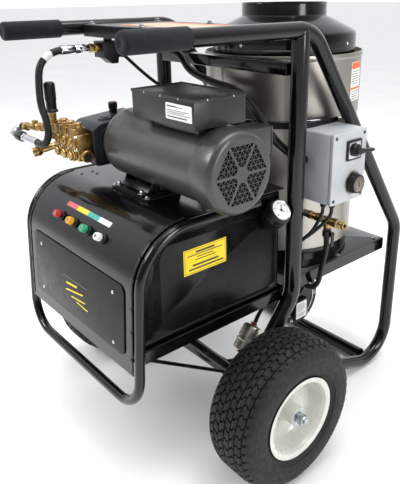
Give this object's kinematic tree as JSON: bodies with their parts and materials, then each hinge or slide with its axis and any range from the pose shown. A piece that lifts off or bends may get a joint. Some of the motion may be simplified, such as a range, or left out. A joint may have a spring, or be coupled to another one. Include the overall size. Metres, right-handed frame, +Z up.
{
  "type": "pressure washer",
  "caption": "Hot-water pressure washer on a two-wheeled tube cart, with an electric motor, plunger pump, fuel tank and an upright oil-fired water heater.",
  "frame": {"origin": "on the floor, under the centre of the whole machine's bounding box", "axes": "+X along the wheel axle towards the fuel filler and motor fan, +Y from the push handles to the heater, +Z up"},
  "size_m": [1.006, 1.0538, 1.1994],
  "materials": {
    "frame_paint": "gloss black powder coat",
    "grip_foam": "matte closed-cell foam",
    "motor_paint": "satin dark grey enamel",
    "tank_plastic": "satin moulded black polyethylene",
    "panel_plastic": "satin black panel with a printed pattern",
    "black_plastic": "moulded black plastic",
    "hose_rubber": "black rubber hose",
    "cable_sheath": "black flexible sheath",
    "stainless": "brushed stainless wrap",
    "jacket_steel": "satin light grey sheet",
    "zinc": "bright zinc plate",
    "brass": "machined and cast brass",
    "coil_steel": "scaled steel pipe",
    "box_grey": "light grey moulded enclosure",
    "rim_paint": "off-white gloss enamel",
    "tyre_rubber": "black tread rubber",
    "nozzle_red": "red nozzle collar",
    "nozzle_yellow": "yellow nozzle collar",
    "nozzle_green": "green nozzle collar",
    "nozzle_white": "white nozzle collar"
  },
  "bodies": {
    "cart": {"side_tube_near": "frame_paint", "upright_near": "frame_paint", "grip_near": "grip_foam", "side_tube_far": "frame_paint", "upright_far": "frame_paint", "grip_far": "grip_foam", "lower_frame": "frame_paint", "front_hoop": "frame_paint", "rear_platform": "frame_paint", "upper_cross_beam": "frame_paint", "rear_foot_tube": "frame_paint", "top_tray": "frame_paint", "tank_cover": "frame_paint", "front_plate": "panel_plastic", "fuel_tank": "tank_plastic", "motor_shell": "motor_paint", "motor_end_bell": "motor_paint", "motor_base": "frame_paint", "fan_cover": "motor_paint", "capacitor_box": "motor_paint", "conduit_box": "motor_paint", "motor_stator": "zinc", "pump_crankcase": "frame_paint", "pump_manifold": "brass", "unloader_valve": "brass", "pump_coupling": "zinc", "high_pressure_hose": "hose_rubber", "flow_switch": "black_plastic", "heater_shell": "jacket_steel", "heater_wrap": "stainless", "flue_cowl": "frame_paint", "heating_coil": "coil_steel", "burner_housing": "frame_paint", "control_box": "box_grey", "outlet_tee": "brass", "shutoff_valve": "brass", "fuel_filter": "zinc", "fuel_supply_hose": "hose_rubber", "fuel_feed_hose": "hose_rubber", "drain_hose": "hose_rubber", "cable_conduit": "cable_sheath", "burner_cable": "cable_sheath", "switch_cable": "cable_sheath"},
    "wheel_near": {"tyre_near": "tyre_rubber", "rim_near": "rim_paint"},
    "wheel_far": {"tyre_far": "tyre_rubber", "rim_far": "rim_paint"},
    "rotor": {"rotor_shaft": "zinc", "cooling_fan": "black_plastic"},
    "blower": {"blower_wheel": "zinc"},
    "main_switch": {"switch_lever": "black_plastic"},
    "thermostat": {"thermostat_knob": "black_plastic"},
    "pressure_adjuster": {"unloader_knob": "black_plastic"},
    "filler_cap": {"fuel_cap": "tank_plastic"},
    "oil_filler": {"oil_cap": "black_plastic"},
    "drain_handle": {"shutoff_lever": "black_plastic"},
    "nozzle_a": {"nozzle_red": "nozzle_red"},
    "nozzle_b": {"nozzle_yellow": "nozzle_yellow"},
    "nozzle_c": {"nozzle_green": "nozzle_green"},
    "nozzle_d": {"nozzle_white": "nozzle_white"}
  },
  "joints": [
    {"name": "wheel_near_spin", "type": "hinge", "parent": "cart", "child": "wheel_near", "pos_m": [0.413, -0.16334, 0.203], "axis": [1, 0, 0], "continuous": true},
    {"name": "wheel_far_spin", "type": "hinge", "parent": "cart", "child": "wheel_far", "pos_m": [-0.413, -0.16334, 0.203], "axis": [1, 0, 0], "continuous": true},
    {"name": "rotor_spin", "type": "hinge", "parent": "cart", "child": "rotor", "pos_m": [0.1, -0.27134, 0.854], "axis": [1, 0, 0], "continuous": true},
    {"name": "blower_spin", "type": "hinge", "parent": "cart", "child": "blower", "pos_m": [0.1, 0.16166, 0.3], "axis": [1, 0, 0], "continuous": true},
    {"name": "main_switch_turn", "type": "hinge", "parent": "cart", "child": "main_switch", "pos_m": [0.368, 0.14866, 0.832], "axis": [1, 0, 0], "range_deg": [0, 90]},
    {"name": "thermostat_turn", "type": "hinge", "parent": "cart", "child": "thermostat", "pos_m": [0.366, 0.15366, 0.739], "axis": [1, 0, 0], "range_deg": [0, 270]},
    {"name": "pressure_adjuster_turn", "type": "hinge", "parent": "cart", "child": "pressure_adjuster", "pos_m": [-0.243, -0.40934, 0.96], "axis": [0, 0, 1], "range_deg": [0, 360]},
    {"name": "filler_cap_turn", "type": "hinge", "parent": "cart", "child": "filler_cap", "pos_m": [0.288, -0.05634, 0.6865], "axis": [0.7771, 0, 0.6293], "range_deg": [0, 90]},
    {"name": "oil_filler_turn", "type": "hinge", "parent": "cart", "child": "oil_filler", "pos_m": [-0.15, -0.27134, 0.936], "axis": [0, 0, 1], "range_deg": [0, 360]},
    {"name": "drain_handle_turn", "type": "hinge", "parent": "cart", "child": "drain_handle", "pos_m": [0.329, 0.12166, 0.583], "axis": [1, 0, 0], "range_deg": [0, 90]},
    {"name": "nozzle_red_pull", "type": "slide", "parent": "cart", "child": "nozzle_a", "axis": [0, -0.8192, 0.5736], "range_m": [0, 0.025]},
    {"name": "nozzle_yellow_pull", "type": "slide", "parent": "cart", "child": "nozzle_b", "axis": [0, -0.8192, 0.5736], "range_m": [0, 0.025]},
    {"name": "nozzle_green_pull", "type": "slide", "parent": "cart", "child": "nozzle_c", "axis": [0, -0.8192, 0.5736], "range_m": [0, 0.025]},
    {"name": "nozzle_white_pull", "type": "slide", "parent": "cart", "child": "nozzle_d", "axis": [0, -0.8192, 0.5736], "range_m": [0, 0.025]}
  ]
}
